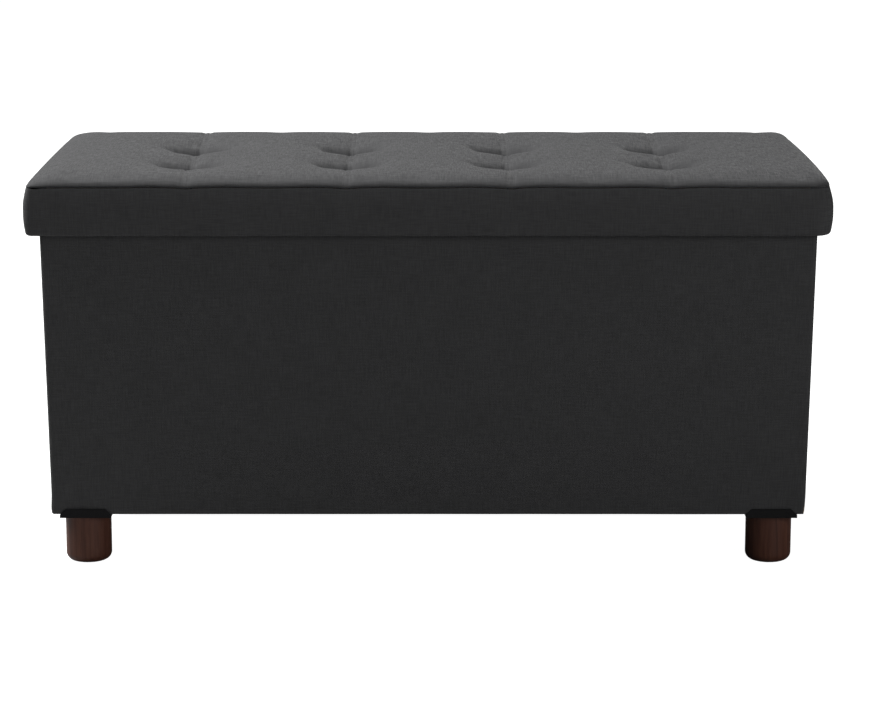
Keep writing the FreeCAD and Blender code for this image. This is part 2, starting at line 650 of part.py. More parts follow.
def lid_side_padding():
    """The strip of wadding between the skirt boards and the side cover."""
    z = ("lid_bottom_z + padding_inset", "lid_seam_z - padding_inset")
    whole = swollen_slab("PaddingWhole", "rim_half_x + padding_thick", "rim_half_y + padding_thick",
                         "rim_corner + padding_thick", z, "padding_swell", "bulge_run - padding_inset / 2")
    hollow = rounded_slab("PaddingHollow", "rim_half_x + play", "rim_half_y + play", "rim_corner + play",
                          ("lid_bottom_z", "lid_seam_z"))
    sub_part(cut("lid_side_padding", whole, hollow), "lid_side_padding")


def lid_lining():
    z = ("lid_board_z - play - lining", "lid_board_z - play")
    sub_part(centred_block("lid_lining", f"{SKIRT_X} - play", f"{SKIRT_Y} - play", z), "lid_lining")


def tufting():
    """The twine that pulls each tuft down, and the disc that anchors it under the lid board."""
    clip_z = ("lid_board_z + play", "lid_board_z + clip_thick")
    sub_part(at_tufts("tuft_twines", "twine_radius", (f"{clip_z[1]} + play", "twine_top_z")), "tuft_twines")
    sub_part(at_tufts("tuft_anchors", "clip_radius", clip_z), "tuft_anchors")


def lid():
    lid_board()
    lid_skirt_boards()
    lid_pad()
    lid_top_cover()
    lid_side_cover()
    lid_side_padding()
    lid_lining()
    tufting()


# ---------------------------------------------------------------- build, check and write


def faults():
    """What is wrong with the document, as a list of sentences."""
    failed = [thing for thing in doc.Objects if {"Invalid", "Error"} & set(thing.State)]
    found = [f"{thing.Label} is {thing.State}" for thing in failed]
    for thing in sub_parts:
        if thing.Shape.isNull() or not thing.Shape.isValid() or not thing.Shape.Solids:
            found.append(f"{thing.Label} has no valid solid")
    for thing in doc.Objects:
        if thing.TypeId == "Part::Cut" and thing.Base.Shape.Volume - thing.Shape.Volume < MISSED_CUT:
            found.append(f"{thing.Label} cut nothing away")
    return found


def main():
    walls()
    feet()
    floor_board()
    lid()
    doc.recompute()
    problems = faults()
    if problems:
        raise SystemExit("\n".join(problems))
    os.makedirs("parts", exist_ok=True)
    for thing in sub_parts:
        thing.Shape.exportStep(f"parts/{thing.Label}.step")
        print(f"{thing.Label:24s} {len(thing.Shape.Solids)} solids {thing.Shape.Volume / 1000:9.1f} cm3")


main()
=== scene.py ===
"""How the storage ottoman looks: its soft covers, linings, stitching and materials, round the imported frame.

Everything is in metres: +X along the length, -Y the front, +Z up, the floor at 0.
"""

import json
import math

import bmesh
import bpy
import numpy as np
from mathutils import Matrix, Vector, noise


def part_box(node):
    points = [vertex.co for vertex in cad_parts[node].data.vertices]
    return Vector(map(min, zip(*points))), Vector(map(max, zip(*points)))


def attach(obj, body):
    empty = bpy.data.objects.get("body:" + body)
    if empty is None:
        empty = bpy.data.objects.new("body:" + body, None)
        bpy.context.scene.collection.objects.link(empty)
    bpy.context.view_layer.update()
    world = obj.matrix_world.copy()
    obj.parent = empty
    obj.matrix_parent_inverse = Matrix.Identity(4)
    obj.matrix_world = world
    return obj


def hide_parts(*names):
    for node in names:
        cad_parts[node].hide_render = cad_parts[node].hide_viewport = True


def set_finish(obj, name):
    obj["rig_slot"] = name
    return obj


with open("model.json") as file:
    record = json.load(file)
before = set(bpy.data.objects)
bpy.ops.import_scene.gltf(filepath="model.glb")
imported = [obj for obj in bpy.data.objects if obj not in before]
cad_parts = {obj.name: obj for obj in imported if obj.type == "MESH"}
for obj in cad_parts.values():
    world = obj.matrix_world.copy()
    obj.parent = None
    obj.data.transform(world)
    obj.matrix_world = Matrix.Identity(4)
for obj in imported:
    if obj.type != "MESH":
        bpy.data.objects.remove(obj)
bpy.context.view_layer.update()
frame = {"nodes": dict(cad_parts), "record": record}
MM = 0.001

# ---------------------------------------------------------------- places, read from the frame

LID_X, LID_Y, BAND_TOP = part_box("lid_side_cover")[1]
LID_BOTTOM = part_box("lid_side_cover")[0].z
CROWN_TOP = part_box("lid_top_cover")[1].z
SEAM_INSET = 2.4 * MM
SEAM_X, SEAM_Y = LID_X - SEAM_INSET, LID_Y - SEAM_INSET
SEAM_Z = BAND_TOP + 1.0 * MM
SKIRT_X, SKIRT_Y, LID_LINING_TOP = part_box("lid_lining")[1]
LID_LINING_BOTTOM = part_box("lid_lining")[0].z
TWINE_LOW, TWINE_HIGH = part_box("tuft_twines")
TWINE_RADIUS = 0.8 * MM
COLUMN_COUNT = 4
TUFT_COLUMNS = np.linspace(TWINE_LOW.x + TWINE_RADIUS, TWINE_HIGH.x - TWINE_RADIUS, COLUMN_COUNT)
TUFT_ROWS = np.array([TWINE_LOW.y + TWINE_RADIUS, TWINE_HIGH.y - TWINE_RADIUS])

RIM_X, RIM_Y, RIM_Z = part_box("box_cover")[1]
BASE_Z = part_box("box_cover")[0].z
CLOTH_X, CLOTH_Y, CLOTH_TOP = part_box("base_cloth")[1]
CLOTH_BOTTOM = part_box("base_cloth")[0].z
TURNED_UNDER = 1.3 * MM
BASE_X, BASE_Y = CLOTH_X + TURNED_UNDER, CLOTH_Y + TURNED_UNDER
LINING_X, LINING_Y, LINING_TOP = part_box("box_lining")[1]
LINING_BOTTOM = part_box("box_lining")[0].z
WRAP_X, WRAP_Y, WRAP_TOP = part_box("floor_board_cover")[1]
WRAP_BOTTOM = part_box("floor_board_cover")[0].z
TAB_LOW, TAB_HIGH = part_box("floor_board_tab")

# ---------------------------------------------------------------- camera

SENSOR = 36.0
CAMERA_Y, CAMERA_Z = -2.943, 0.749
CAMERA_PITCH = 11.2
CAMERA_LENS = 119.7
CAMERA_SHIFT = 0.0212


def make_camera():
    """The camera stands in front of the middle, above the lid, and looks slightly down."""
    data = bpy.data.cameras.new("camera")
    data.sensor_width, data.lens, data.shift_x = SENSOR, CAMERA_LENS, CAMERA_SHIFT
    data.clip_end = 100
    camera = bpy.data.objects.new("camera", data)
    camera.location = (0, CAMERA_Y, CAMERA_Z)
    camera.rotation_euler = (math.radians(90 - CAMERA_PITCH), 0, 0)
    bpy.context.scene.collection.objects.link(camera)
    bpy.context.scene.camera = camera


# ---------------------------------------------------------------- mesh tools


def make_mesh(name, points, faces, weave=None):
    """A smooth mesh. weave holds each point's place on the flat cloth, for the material's threads."""
    mesh = bpy.data.meshes.new(name)
    mesh.from_pydata(np.asarray(points).tolist(), [], faces)
    mesh.validate()
    if weave is not None:
        cloth = np.zeros((len(points), 3), np.float32)
        cloth[:, : np.asarray(weave).shape[1]] = weave
        mesh.attributes.new("weave", "FLOAT_VECTOR", "POINT").data.foreach_set("vector", cloth.ravel())
    mesh.shade_smooth()
    made = bpy.data.objects.new(name, mesh)
    bpy.context.scene.collection.objects.link(made)
    return made


def grid_faces(rows, columns, wrap_rows=False, wrap_columns=False):
    """Quads between the points of a grid that is stored row by row."""
    faces = []
    for i in range(rows if wrap_rows else rows - 1):
        for j in range(columns if wrap_columns else columns - 1):
            a, b = i * columns, ((i + 1) % rows) * columns
            k = (j + 1) % columns
            faces.append((a + j, a + k, b + k, b + j))
    return faces


def rounded_outline(half_x, half_y, radii, counts, corner_steps=8):
    """Points round a rectangle with rounded corners, anticlockwise from the front left, as an (n, 2) array.
    radii are those of the front right, back right, back left and front left corners. counts are the numbers
    of points along each long side and each short side."""
    along, across = counts
    signs = [(1, -1), (1, 1), (-1, 1), (-1, -1)]
    centres = [np.array([sx * (half_x - r), sy * (half_y - r)]) for (sx, sy), r in zip(signs, radii)]
    points = []
    for k, (centre, radius) in enumerate(zip(centres, radii)):
        before, before_radius = centres[k - 1], radii[k - 1]
        turn = math.radians(-90 + 90 * k)
        outward = np.array([math.cos(turn), math.sin(turn)])
        start, end = before + before_radius * outward, centre + radius * outward
        count = along if k % 2 == 0 else across
        for t in np.arange(count) / count:
            points.append(start + (end - start) * t)
        for t in np.arange(corner_steps) / corner_steps:
            angle = turn + t * math.pi / 2
            points.append(centre + radius * np.array([math.cos(angle), math.sin(angle)]))
    return np.array(points)


def length_along(points):
    """Distance from the first point to each, along them."""
    steps = np.linalg.norm(np.diff(points, axis=0), axis=1)
    return np.concatenate([[0], np.cumsum(steps)])


def swept_ring(name, rings, shape=None):
    """A closed fabric ring. rings are the outlines at each point of its cross-section, as (n, 3) arrays.
    shape may move the points: it takes and returns an (m, n, 3) array."""
    grid = np.array(rings)
    around = length_along(grid[0])
    up = length_along(grid[:, 0])
    weave = np.stack(np.broadcast_arrays(around[None, :], up[:, None]), axis=-1).reshape(-1, 2)
    if shape is not None:
        grid = shape(grid)
    faces = grid_faces(*grid.shape[:2], wrap_rows=True, wrap_columns=True)
    return turned_outwards(make_mesh(name, grid.reshape(-1, 3), faces, weave))


def turned_outwards(piece):
    """Makes a closed piece's faces all look outwards."""
    work = bmesh.new()
    work.from_mesh(piece.data)
    bmesh.ops.recalc_face_normals(work, faces=work.faces)
    work.to_mesh(piece.data)
    work.free()
    return piece


def apply_modifiers(piece):
    """Replaces a piece's mesh with what its modifiers make of it."""
    depsgraph = bpy.context.evaluated_depsgraph_get()
    mesh = bpy.data.meshes.new_from_object(piece.evaluated_get(depsgraph))
    piece.modifiers.clear()
    piece.data = mesh
    return piece


def subdivided(piece):
    """Applies a piece's modifiers and one smoothing subdivision after them."""
    modifier = piece.modifiers.new("smooth", "SUBSURF")
    modifier.levels = modifier.render_levels = 1
    return apply_modifiers(piece)


def away_from(values, lines):
    """Distance from each value to the nearest line."""
    return np.min(np.abs(np.asarray(values)[..., None] - np.asarray(lines)), axis=-1)


def bell(values, width):
    """1 at 0, falling smoothly to nothing at about twice the width."""
    return np.exp(-((values / width) ** 2))


def ripple(points, size, seed):
    """Smooth noise between about -1 and 1 at each point, with ripples about size across."""
    shift = Vector((7.3 * seed, 3.1 * seed, 5.7 * seed))
    flat = np.asarray(points).reshape(-1, points.shape[-1])
    found = [noise.noise(Vector((*p, 0)[:3]) / size + shift) for p in flat.tolist()]
    return np.array(found).reshape(points.shape[:-1])


# ---------------------------------------------------------------- the tufted top

FABRIC = 1.2 * MM
CORNER_RADII = (17 * MM, 12 * MM, 15 * MM, 6 * MM)
TOP_INSET = 0.6 * MM

# The padded rolls from the seam up to the crown, along the four edges.
CROWN = CROWN_TOP - SEAM_Z - 0.9 * MM
ROLL_LENGTHS = {"left": 34 * MM, "right": 22 * MM, "front": 36 * MM, "back": 34 * MM}
ROLL_POWER = 2.25
ROLL_START = 0.3 * MM

# The pit at each tuft and the shallow dish round it.
TUFT_DEPTH, TUFT_HALF_WIDTH = 19 * MM, 24 * MM
TUFT_BEHIND, TUFT_BEHIND_POWER = 13 * MM, 2.2
TUFT_BEFORE, TUFT_BEFORE_POWER = 24 * MM, 1.3
DISH_DEPTH, DISH_REACH = 5.0 * MM, 42 * MM
DISH_HALF_WIDTH, DISH_POWER = 36 * MM, 3

# The creases through the tufts: a valley with a pleat on each side, shallower in front of the front tufts.
VALLEY_DEPTH, VALLEY_LENGTH = 7.8 * MM, 120 * MM
VALLEY_LEFT, VALLEY_RIGHT = 22 * MM, 12 * MM
FRONT_VALLEY, FRONT_VALLEY_STEP = 0.35, 4 * MM
CREASE_LEAN, LEAN_FROM, LEAN_OVER = 4.5 * MM, 120 * MM, 60 * MM
PLEAT_DEPTH, PLEAT_PLACE, PLEAT_WIDTH, PLEAT_FADE = 1.1 * MM, 2.4 * MM, 1.3 * MM, 6 * MM
BETWEEN_DEPTH, BETWEEN_WIDTH = 0.7 * MM, 12 * MM

# No cut goes deeper than the pad, and all of them fade out towards the front and back seams.
DEEPEST = 26 * MM
SEAM_HOLD = 26 * MM

# The front and back seams rise beside each crease and dip at it.
SEAM_RISE, BESIDE_CREASE, BESIDE_WIDTH = 0.6 * MM, 36 * MM, 14 * MM
SEAM_DIP, SEAM_DIP_WIDTH = 1.0 * MM, 7 * MM
SEAM_WAVE_REACH = 16 * MM

# The ends: the seam is drawn in, and the padding swells towards the middle of their length.
END_PULL = {"left": 0.9 * MM, "right": 1.6 * MM}
END_PULL_REACH, END_PULL_HEIGHT = 18 * MM, 11 * MM
END_SWELL = {"left": 1.5 * MM, "right": 4.0 * MM}
END_SWELL_POWER = 12

# The mesh is finest at the seams and near the tufts.
EDGE_PITCH, EDGE_GROWTH = 0.8 * MM, 0.2
LINE_PITCH, LINE_GROWTH = 1.0 * MM, 0.22
WIDEST_PITCH = 4.2 * MM

# The cloth simulation, and what it holds still.
SETTLE_FRAMES = 20
SETTLE_PRESSURE, SETTLE_CAP = 0.6, 1.2 * MM
SEWN_REACH, TIED_REACH, CREASED_REACH = 1 * MM, 4 * MM, 2.1 * MM


def from_crease(x, y):
    """Distance to the nearest crease, less than 0 on its left. The outer creases lean near the front."""
    outer = np.clip((np.abs(x) - LEAN_FROM) / LEAN_OVER, 0, 1)
    forward = np.clip((TUFT_ROWS[0] - y) / (SEAM_Y + TUFT_ROWS[0]), 0, 1)
    placed = x + np.sign(x) * CREASE_LEAN * outer * forward
    gaps = placed[..., None] - TUFT_COLUMNS
    nearest = np.argmin(np.abs(gaps), axis=-1)
    return np.take_along_axis(gaps, nearest[..., None], axis=-1)[..., 0]


def seam_wave(x, y):
    """How the front and back seams rise beside each crease and dip at it."""
    gap = np.abs(from_crease(x, y))
    return SEAM_RISE * bell(gap - BESIDE_CREASE, BESIDE_WIDTH) - SEAM_DIP * bell(gap, SEAM_DIP_WIDTH)


def rolled(edge, length):
    """Height of the padded roll, from 0 at the seam to 1 where the top is flat."""
    t = np.clip(edge / length, 0, 1)
    first = ROLL_START / length
    start = (1 - (1 - first) ** ROLL_POWER) ** (1 / ROLL_POWER)
    rise = (1 - ((1 - t) * (1 - first)) ** ROLL_POWER) ** (1 / ROLL_POWER)
    return (rise - start) / (1 - start)


def steep(distance):
    """1 at a tuft's row, falling quickly on its far side and slowly towards the front."""
    far = (np.abs(distance) / TUFT_BEHIND) ** TUFT_BEHIND_POWER
    near = (np.abs(distance) / TUFT_BEFORE) ** TUFT_BEFORE_POWER
    return np.where(distance > 0, np.exp(-far), np.exp(-near))


def limited(depth):
    """The depth, held smoothly below DEEPEST, because the lid board lies under the pad."""
    return depth / (1 + (depth / DEEPEST) ** 4) ** 0.25


def pulled_in(x, above):
    """The seams at the two ends lie further in than the padding above and below them."""
    pull = np.where(x > 0, END_PULL["right"], END_PULL["left"])
    near = np.clip(1 - (SEAM_X - np.abs(x)) / END_PULL_REACH, 0, 1) ** 2
    return x - np.sign(x) * pull * near * bell(above, END_PULL_HEIGHT)


def swollen_ends(x, y):
    """The padding swells a little at both ends, most in the middle of their length."""
    swell = np.where(x > 0, END_SWELL["right"], END_SWELL["left"])
    near = np.clip(np.abs(x) / SEAM_X, 0, 1) ** END_SWELL_POWER
    return x + np.sign(x) * swell * near * np.clip(1 - (y / SEAM_Y) ** 2, 0, 1)


def top_height(x, y):
    """Height of the tufted top over the seam's plane."""
    inside_x, inside_y = SEAM_X - np.abs(x), SEAM_Y - np.abs(y)
    roll_x = rolled(inside_x, np.where(x > 0, ROLL_LENGTHS["right"], ROLL_LENGTHS["left"]))
    roll_y = rolled(inside_y, np.where(y > 0, ROLL_LENGTHS["back"], ROLL_LENGTHS["front"]))
    side = from_crease(x, y)
    to_column = np.abs(side)
    pit = TUFT_DEPTH * bell(to_column, TUFT_HALF_WIDTH)
    dish = DISH_DEPTH * np.exp(-((to_column / DISH_HALF_WIDTH) ** DISH_POWER))
    cuts = 0
    for row in TUFT_ROWS:
        cuts = np.maximum(cuts, pit * steep(y - row) + dish * bell(y - row, DISH_REACH))
    beyond = np.clip(1 - away_from(y, TUFT_ROWS) / VALLEY_LENGTH, 0, 1)
    at_back = np.clip((y - TUFT_ROWS[0]) / FRONT_VALLEY_STEP + 1, 0, 1)
    beyond = beyond * (FRONT_VALLEY + (1 - FRONT_VALLEY) * at_back)
    valley = VALLEY_DEPTH * np.exp(-to_column / np.where(side > 0, VALLEY_RIGHT, VALLEY_LEFT)) * beyond
    half_gap = (TUFT_COLUMNS[1] - TUFT_COLUMNS[0]) / 2
    between = BETWEEN_DEPTH * bell(to_column - half_gap, BETWEEN_WIDTH) * (np.abs(x) < TUFT_COLUMNS[-1])
    pleats = PLEAT_DEPTH * bell(to_column - PLEAT_PLACE, PLEAT_WIDTH) * np.clip(inside_y / PLEAT_FADE, 0, 1)
    from_seam = np.clip(inside_y / SEAM_HOLD, 0, 1)
    return CROWN * roll_x * roll_y - (limited(cuts + valley) + between) * from_seam - pleats * roll_y


def graded(half, lines):
    """Places from -half to half, close together at both ends and near the given lines."""
    even = np.linspace(-half, half, 4001)
    by_edge = EDGE_PITCH + EDGE_GROWTH * (half - np.abs(even))
    by_line = LINE_PITCH + LINE_GROWTH * away_from(even, lines)
    pitch = np.minimum(np.minimum(by_edge, by_line), WIDEST_PITCH)
    count = np.cumsum(1 / pitch) * (even[1] - even[0])
    wanted = np.linspace(count[0], count[-1], int(count[-1]))
    return np.interp(wanted, count, even)


def rounded_corners(x, y, half_x, half_y):
    """Moves the points of a rectangle so that its corners are round, each by its own radius."""
    x, y = x.copy(), y.copy()
    signs = [(1, -1), (1, 1), (-1, 1), (-1, -1)]
    for (sx, sy), radius in zip(signs, CORNER_RADII):
        u = (sx * x - half_x + radius) / radius
        v = (sy * y - half_y + radius) / radius
        corner = (u > 0) & (v > 0)
        pulled_u = u * np.sqrt(1 - np.clip(v, 0, 1) ** 2 / 2)
        pulled_v = v * np.sqrt(1 - np.clip(u, 0, 1) ** 2 / 2)
        x[corner] = sx * (half_x - radius + radius * pulled_u[corner])
        y[corner] = sy * (half_y - radius + radius * pulled_v[corner])
    return x, y


def settle(piece, held):
    """Lets the fabric settle over the pad as a simulated cloth, fixed at its held points. The pad's push is a
    pressure from below, and no point moves further than SETTLE_CAP."""
    before = np.array([v.co for v in piece.data.vertices])
    group = piece.vertex_groups.new(name="held")
    group.add(np.flatnonzero(held).tolist(), 1.0, "REPLACE")
    cloth = piece.modifiers.new("cloth", "CLOTH")
    settings = cloth.settings
    settings.quality = 6
    settings.mass = 0.25
    settings.tension_stiffness = settings.compression_stiffness = 12
    settings.shear_stiffness = 4
    settings.bending_stiffness = 0.25
    settings.use_pressure = True
    settings.uniform_pressure_force = SETTLE_PRESSURE
    settings.vertex_group_mass = "held"
    settings.effector_weights.gravity = 0
    cloth.point_cache.frame_end = SETTLE_FRAMES
    scene = bpy.context.scene
    for step in range(1, SETTLE_FRAMES + 1):
        scene.frame_set(step)
    mesh = bpy.data.meshes.new_from_object(piece.evaluated_get(bpy.context.evaluated_depsgraph_get()))
    after = np.array([v.co for v in mesh.vertices])
    moved = after - before
    far = np.linalg.norm(moved, axis=1, keepdims=True)
    kept = before + moved * np.minimum(1, SETTLE_CAP / np.maximum(far, 1e-9))
    piece.modifiers.clear()
    piece.vertex_groups.clear()
    piece.data.vertices.foreach_set("co", kept.astype(np.float32).ravel())
    piece.data.update()
    scene.frame_set(1)


def make_tufted_top():
    """The lid's top: eight tufts in two rows, with a crease from seam to seam through each pair."""
    flat_x, flat_y = np.meshgrid(graded(SEAM_X, TUFT_COLUMNS), graded(SEAM_Y, TUFT_ROWS))
    rows, columns = flat_x.shape
    x, y = rounded_corners(flat_x, flat_y, SEAM_X - TOP_INSET, SEAM_Y - TOP_INSET)
    height = top_height(flat_x, flat_y)
    near_seam = np.minimum(SEAM_X - np.abs(flat_x), SEAM_Y - np.abs(flat_y))
    x = swollen_ends(pulled_in(x, height), y)
    wave = seam_wave(flat_x, flat_y) * bell(near_seam, SEAM_WAVE_REACH) * (np.abs(flat_y) > SEAM_Y / 2)
    z = SEAM_Z + height + wave
    points = np.stack([x, y, z], axis=-1)
    weave = np.stack([flat_x, flat_y], axis=-1)
    top = make_mesh("tufted_top", points.reshape(-1, 3), grid_faces(rows, columns), weave.reshape(-1, 2))
    to_column, to_row = away_from(flat_x, TUFT_COLUMNS), away_from(flat_y, TUFT_ROWS)
    sewn = near_seam < SEWN_REACH
    tied = (to_column < TIED_REACH) & (to_row < TIED_REACH)
    creased = np.abs(from_crease(flat_x, flat_y)) < CREASED_REACH
    settle(top, (sewn | tied | creased).ravel())
    thick = top.modifiers.new("thickness", "SOLIDIFY")
    thick.thickness, thick.offset = FABRIC, -1
    subdivided(top)
    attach(top, "lid")
    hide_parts("lid_top_cover", "lid_pad")
    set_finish(top, "charcoal_fabric")
    return top


# ---------------------------------------------------------------- the lid's side band and seam

BAND_COUNTS = (190, 95)
BAND_SWELL, BAND_SWELL_SIZE = 0.35 * MM, 60 * MM
TOP_TUCK, TOP_TUCK_END, TOP_TUCK_POWER = SEAM_INSET, 0.45, 1.7
BOTTOM_TUCK, BOTTOM_TUCK_START = 1.6 * MM, 0.62
BOTTOM_EDGE = 4 * MM

# The top edge dips a little beside the front left corner.
CORNER_TUCK, CORNER_TUCK_PLACE, CORNER_TUCK_WIDTH = 1.1 * MM, 9 * MM, 5 * MM

# The sewn edge lies inside the seam, a little below the top.
RIDGE_INSET, RIDGE_DROP = 1.1 * MM, 0.35 * MM
RIDGE_HALF_WIDTH, RIDGE_HALF_HEIGHT = 1.0 * MM, 0.55 * MM


def lid_ring(offset, z):
    """An outline round the lid, offset outwards from its seam."""
    radii = [radius + max(offset, -radius / 2) for radius in CORNER_RADII]
    outline = rounded_outline(SEAM_X + offset, SEAM_Y + offset, radii, BAND_COUNTS)
    return np.column_stack([outline, np.full(len(outline), z)])


def band_section():
    """The band's cross-section as (offset, z) pairs: out from the seam, down the padded side, round the lower
    edge and up the inside, then back through the thickness of the cloth."""
    low, high = LID_BOTTOM + BOTTOM_EDGE, BAND_TOP - 0.2 * MM
    section = [(-1.6 * MM, BAND_TOP - 0.8 * MM), (-0.7 * MM, BAND_TOP - 0.05 * MM)]
    for t in np.linspace(0, 1, 17):
        at_top = max(1 - t / TOP_TUCK_END, 0)
        at_bottom = max((t - BOTTOM_TUCK_START) / (1 - BOTTOM_TUCK_START), 0)
        tuck_in = TOP_TUCK * at_top**TOP_TUCK_POWER + BOTTOM_TUCK * at_bottom**2
        section.append((SEAM_INSET - tuck_in, high + (low - high) * t))
    for angle in np.radians([22, 45, 68, 90]):
        offset = SEAM_INSET - BOTTOM_TUCK - BOTTOM_EDGE * (1 - math.cos(angle))
        section.append((offset, low - BOTTOM_EDGE * math.sin(angle)))
    inner = SKIRT_X - SEAM_X + 0.1 * MM
    section += [(inner + 2.0 * MM, LID_BOTTOM), (inner + 0.6 * MM, LID_BOTTOM + 0.6 * MM)]
    section += [(inner, z) for z in (LID_BOTTOM + 2 * MM, LID_BOTTOM + 9 * MM, LID_LINING_BOTTOM)]
    section += [(inner + FABRIC, LID_LINING_BOTTOM), (inner + FABRIC, LID_BOTTOM + 3 * MM)]
    section += [(-3.5 * MM, LID_BOTTOM + 3 * MM)]
    section += [(-1.6 * MM, z) for z in (LID_BOTTOM + 12 * MM, BAND_TOP - 8 * MM)]
    return section


def make_side_band():
    """The padded band round the lid, whose top edge follows the seam up and down."""

    def shape(grid):
        x, y, z = grid[..., 0], grid[..., 1], grid[..., 2]
        height = np.clip((z - LID_BOTTOM) / (BAND_TOP - LID_BOTTOM), 0, 1)
        long_side = np.abs(y) > SEAM_Y - 3 * MM
        tuck = CORNER_TUCK * bell(x + SEAM_X - CORNER_TUCK_PLACE, CORNER_TUCK_WIDTH) * (y < 0)
        grid[..., 2] = z + (seam_wave(x, y) - tuck) * height**3 * long_side
        grid[..., 0] = swollen_ends(pulled_in(x, np.minimum(z - SEAM_Z, 0)), y)
        out = np.stack([x / SEAM_X, y / SEAM_Y], axis=-1)
        out = np.where(np.abs(out) > 0.97, np.sign(out), 0)
        swell = BAND_SWELL * ripple(grid * np.array([1, 1, 2.2]), BAND_SWELL_SIZE, 1)
        grid[..., :2] += out * (swell * np.sin(math.pi * height))[..., None]
        return grid

    band = swept_ring("side_band", [lid_ring(offset, z) for offset, z in band_section()], shape)
    subdivided(band)
    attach(band, "lid")
    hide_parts("lid_side_cover", "lid_side_padding")
    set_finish(band, "charcoal_fabric")
    return band


def make_seam_ridge():
    """The sewn edge between the band and the top: a narrow fold that lies in the groove between them."""
    rings = []
    for angle in np.radians(np.arange(0, 360, 60)):
        offset = RIDGE_HALF_WIDTH * math.cos(angle) - RIDGE_INSET
        rings.append(lid_ring(offset, SEAM_Z - RIDGE_DROP + RIDGE_HALF_HEIGHT * math.sin(angle)))

    def shape(grid):
        grid[..., 2] += seam_wave(grid[..., 0], grid[..., 1]) * (np.abs(grid[..., 1]) > SEAM_Y - 4 * MM)
        grid[..., 0] = swollen_ends(pulled_in(grid[..., 0], 0), grid[..., 1])
        return grid

    ridge = swept_ring("lid_seam_ridge", rings, shape)
    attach(ridge, "lid")
    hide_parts("lid_edge_seam")
    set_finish(ridge, "charcoal_fabric")
    return ridge


# ---------------------------------------------------------------- flat cloths and wrapped boards

PLATE_PITCH = 12 * MM
PLATE_WAVE_SIZE = 55 * MM
CLOTH_EDGE = 0.35 * MM
LINING_WAVE, UNDERSIDE_WAVE, WRAP_WAVE = 0.15 * MM, 0.12 * MM, 0.12 * MM
WRAP_EDGE, WRAP_CLOTH = 0.9 * MM, 0.6 * MM
RIBBON = 0.7 * MM


def soft_plate(name, half, heights, edge, wave):
    """A thin closed plate of cloth, or of cloth round a board. half is its half size in x and y, and heights
    its lower and upper face. Its rim is rounded by edge, and both faces are uneven by wave."""
    half_x, half_y = half
    low, high = heights
    x = np.linspace(-half_x + edge, half_x - edge, int(2 * half_x / PLATE_PITCH))
    y = np.linspace(-half_y + edge, half_y - edge, int(2 * half_y / PLATE_PITCH))
    flat_x, flat_y = np.meshgrid(x, y)
    rows, columns = flat_x.shape
    rim = [(j, 0) for j in range(columns)] + [(columns - 1, i) for i in range(1, rows)]
    rim += [(j, rows - 1) for j in range(columns - 2, -1, -1)] + [(0, i) for i in range(rows - 2, 0, -1)]
    points, weave, faces = [], [], []
    uneven = ripple(np.stack([flat_x, flat_y], axis=-1), PLATE_WAVE_SIZE, 2) * wave
    for z in (high, low):
        points += np.stack([flat_x, flat_y, z + uneven], axis=-1).reshape(-1, 3).tolist()
        weave += np.stack([flat_x, flat_y], axis=-1).reshape(-1, 2).tolist()
    size = rows * columns
    faces += grid_faces(rows, columns)
    faces += [tuple(size + k for k in reversed(face)) for face in grid_faces(rows, columns)]
    loops = [[i * columns + j for j, i in rim]]
    for angle, height in ((60, high), (30, high), (0, high), (0, low), (-30, low), (-60, low)):
        loops.append(list(range(len(points), len(points) + len(rim))))
        tilt = math.radians(angle)
        level = height - edge * np.sign(height - (low + high) / 2) + edge * math.sin(tilt)
        for j, i in rim:
            px, py = flat_x[i, j], flat_y[i, j]
            at_end, at_side = j in (0, columns - 1), i in (0, rows - 1)
            out = np.array([np.sign(px) * at_end, np.sign(py) * at_side])
            out = out / max(np.linalg.norm(out), 1)
            place = np.array([px, py]) + out * edge * math.cos(tilt)
            points.append([*place, level + uneven[i, j]])
            weave.append([px, py])
    loops.append([size + i * columns + j for j, i in rim])
    for upper, lower in zip(loops, loops[1:]):
        for k in range(len(rim)):
            following = (k + 1) % len(rim)
            faces.append((upper[k], lower[k], lower[following], upper[following]))
    return turned_outwards(make_mesh(name, points, faces, weave))


def make_lid_lining():
    """The non-woven cloth on the lid's underside."""
    heights = (LID_LINING_BOTTOM, LID_LINING_TOP)
    lining = soft_plate("lid_underside_lining", (SKIRT_X, SKIRT_Y), heights, CLOTH_EDGE, LINING_WAVE)
    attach(lining, "lid")
    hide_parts("lid_lining")
    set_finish(lining, "black_nonwoven")
    return lining


def make_underside_cloth():
    """The non-woven cloth across the underside of the box."""
    heights = (CLOTH_BOTTOM, CLOTH_TOP)
    cloth = soft_plate("underside_cloth", (CLOTH_X, CLOTH_Y), heights, CLOTH_EDGE, UNDERSIDE_WAVE)
    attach(cloth, "box")
    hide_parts("base_cloth")
    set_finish(cloth, "black_nonwoven")
    return cloth


def make_floor_board_wrap():
    """The cloth wrapped round the loose floor board."""
    heights = (WRAP_BOTTOM - WRAP_CLOTH, WRAP_TOP)
    wrap = soft_plate("floor_board_wrap", (WRAP_X, WRAP_Y), heights, WRAP_EDGE, WRAP_WAVE)
    thick = wrap.modifiers.new("thickness", "SOLIDIFY")
    thick.thickness, thick.offset = WRAP_CLOTH, -1
    apply_modifiers(wrap)
    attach(wrap, "floor_board_body")
    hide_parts("floor_board_cover")
    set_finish(wrap, "black_nonwoven")
    return wrap


